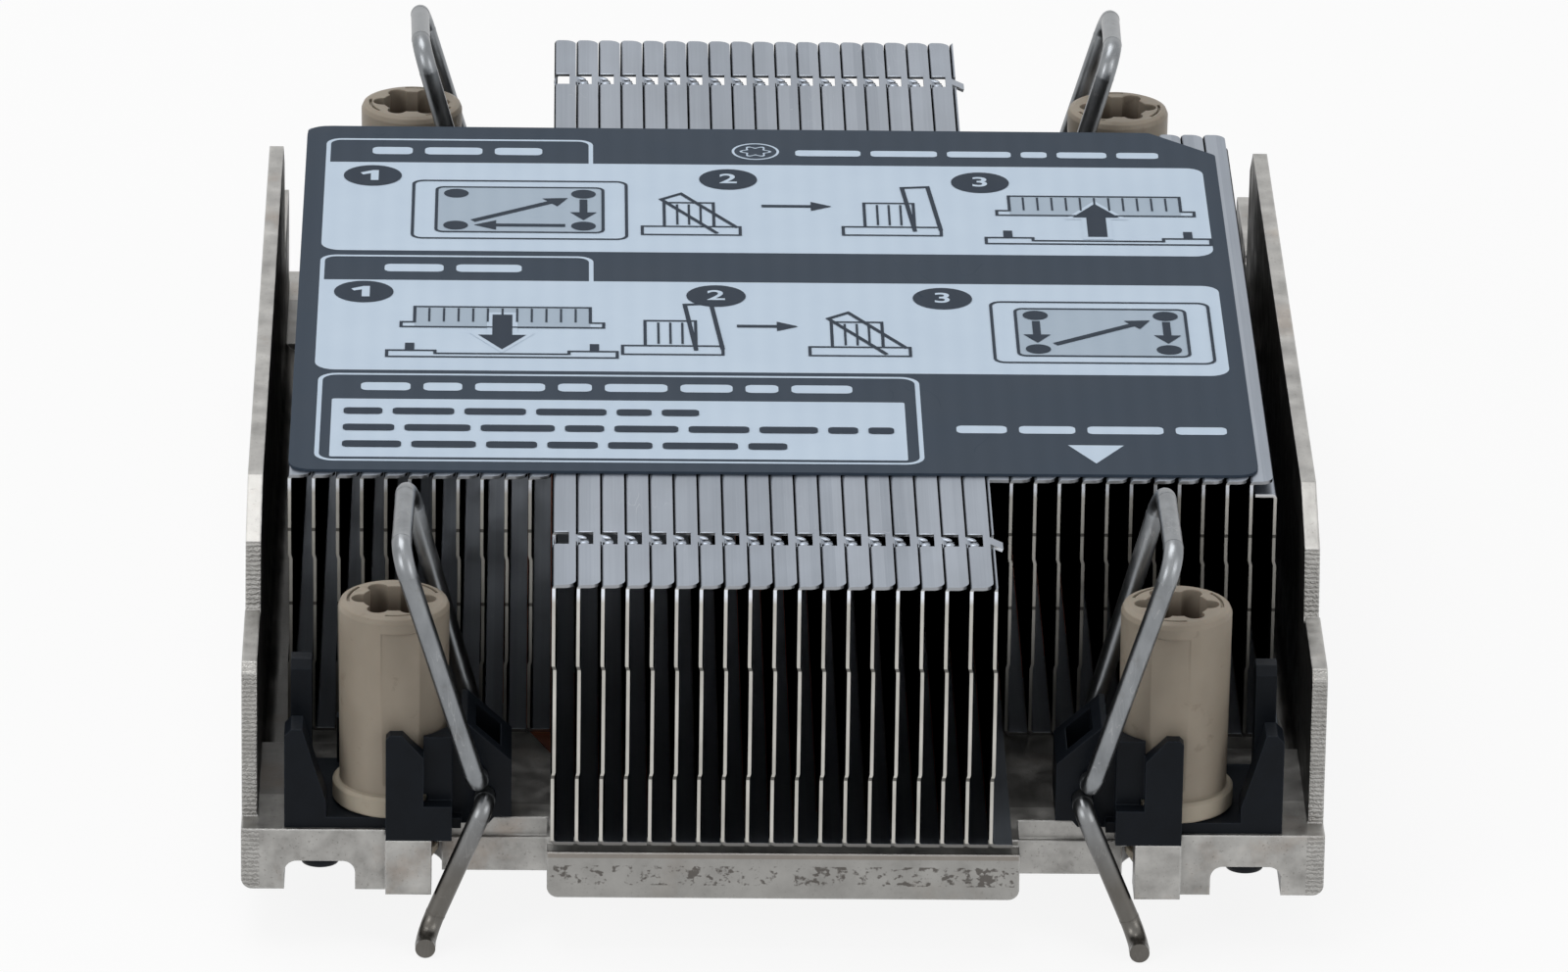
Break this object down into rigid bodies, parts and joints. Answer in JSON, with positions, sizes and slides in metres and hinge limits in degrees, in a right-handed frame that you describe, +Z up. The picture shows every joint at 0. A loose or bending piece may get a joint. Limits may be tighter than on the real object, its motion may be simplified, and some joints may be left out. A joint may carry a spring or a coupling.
{
  "type": "passive server cpu heatsink",
  "caption": "Low passive heatsink for a server processor: finned stack on a base plate, with captive corner nuts and hinged hook wires.",
  "frame": {"origin": "centre of the base plate's underside, the face that meets the processor", "axes": "+Z up, away from the processor; Y along the airflow with the front end at -Y; X across it"},
  "size_m": [0.078, 0.1192, 0.0321],
  "materials": {
    "base": "skived and milled aluminium, lightly stained",
    "fins": "bright rolled sheet",
    "copper": "flattened copper heat pipes",
    "label": "printed film, satin",
    "nut_plastic": "tan high-temperature plastic, satin",
    "clip_plastic": "black nylon, satin",
    "wire_steel": "bright spring wire"
  },
  "bodies": {
    "heatsink": {"base_plate": "base", "heat_pipe_left": "copper", "heat_pipe_middle": "copper", "heat_pipe_right": "copper", "fin_01": "fins", "fin_02": "fins", "fin_03": "fins", "fin_04": "fins", "fin_05": "fins", "fin_06": "fins", "fin_07": "fins", "fin_08": "fins", "fin_09": "fins", "fin_10": "fins", "fin_11": "fins", "fin_12": "fins", "fin_13": "fins", "fin_14": "fins", "fin_15": "fins", "fin_16": "fins", "fin_17": "fins", "fin_18": "fins", "fin_19": "fins", "fin_20": "fins", "fin_21": "fins", "fin_22": "fins", "fin_23": "fins", "fin_24": "fins", "fin_25": "fins", "fin_26": "fins", "fin_27": "fins", "fin_28": "fins", "fin_29": "fins", "fin_30": "fins", "fin_31": "fins", "fin_32": "fins", "fin_33": "fins", "fin_34": "fins", "fin_35": "fins", "fin_36": "fins", "fin_37": "fins", "fin_38": "fins", "fin_39": "fins", "fin_40": "fins", "fin_41": "fins", "fin_42": "fins", "label": "label", "clip_front_left": "clip_plastic", "clip_front_right": "clip_plastic", "clip_rear_left": "clip_plastic", "clip_rear_right": "clip_plastic"},
    "nut_front_left": {"nut_front_left": "nut_plastic"},
    "wire_front_left": {"wire_front_left": "wire_steel"},
    "nut_front_right": {"nut_front_right": "nut_plastic"},
    "wire_front_right": {"wire_front_right": "wire_steel"},
    "nut_rear_left": {"nut_rear_left": "nut_plastic"},
    "wire_rear_left": {"wire_rear_left": "wire_steel"},
    "nut_rear_right": {"nut_rear_right": "nut_plastic"},
    "wire_rear_right": {"wire_rear_right": "wire_steel"}
  },
  "joints": [
    {"name": "nut_front_left_turn", "type": "hinge", "parent": "heatsink", "child": "nut_front_left", "pos_m": [-0.0281, -0.052, 0.00465], "axis": [0, 0, 1], "continuous": true},
    {"name": "wire_front_left_swing", "type": "hinge", "parent": "heatsink", "child": "wire_front_left", "pos_m": [-0.0215, -0.052, 0.00685], "axis": [0, -1, 0], "range_deg": [0, 24]},
    {"name": "nut_front_right_turn", "type": "hinge", "parent": "heatsink", "child": "nut_front_right", "pos_m": [0.0281, -0.052, 0.00465], "axis": [0, 0, 1], "continuous": true},
    {"name": "wire_front_right_swing", "type": "hinge", "parent": "heatsink", "child": "wire_front_right", "pos_m": [0.0215, -0.052, 0.00685], "axis": [0, 1, 0], "range_deg": [0, 24]},
    {"name": "nut_rear_left_turn", "type": "hinge", "parent": "heatsink", "child": "nut_rear_left", "pos_m": [-0.0281, 0.052, 0.00465], "axis": [0, 0, 1], "continuous": true},
    {"name": "wire_rear_left_swing", "type": "hinge", "parent": "heatsink", "child": "wire_rear_left", "pos_m": [-0.0215, 0.052, 0.00685], "axis": [0, -1, 0], "range_deg": [0, 24]},
    {"name": "nut_rear_right_turn", "type": "hinge", "parent": "heatsink", "child": "nut_rear_right", "pos_m": [0.0281, 0.052, 0.00465], "axis": [0, 0, 1], "continuous": true},
    {"name": "wire_rear_right_swing", "type": "hinge", "parent": "heatsink", "child": "wire_rear_right", "pos_m": [0.0215, 0.052, 0.00685], "axis": [0, 1, 0], "range_deg": [0, 24]}
  ]
}
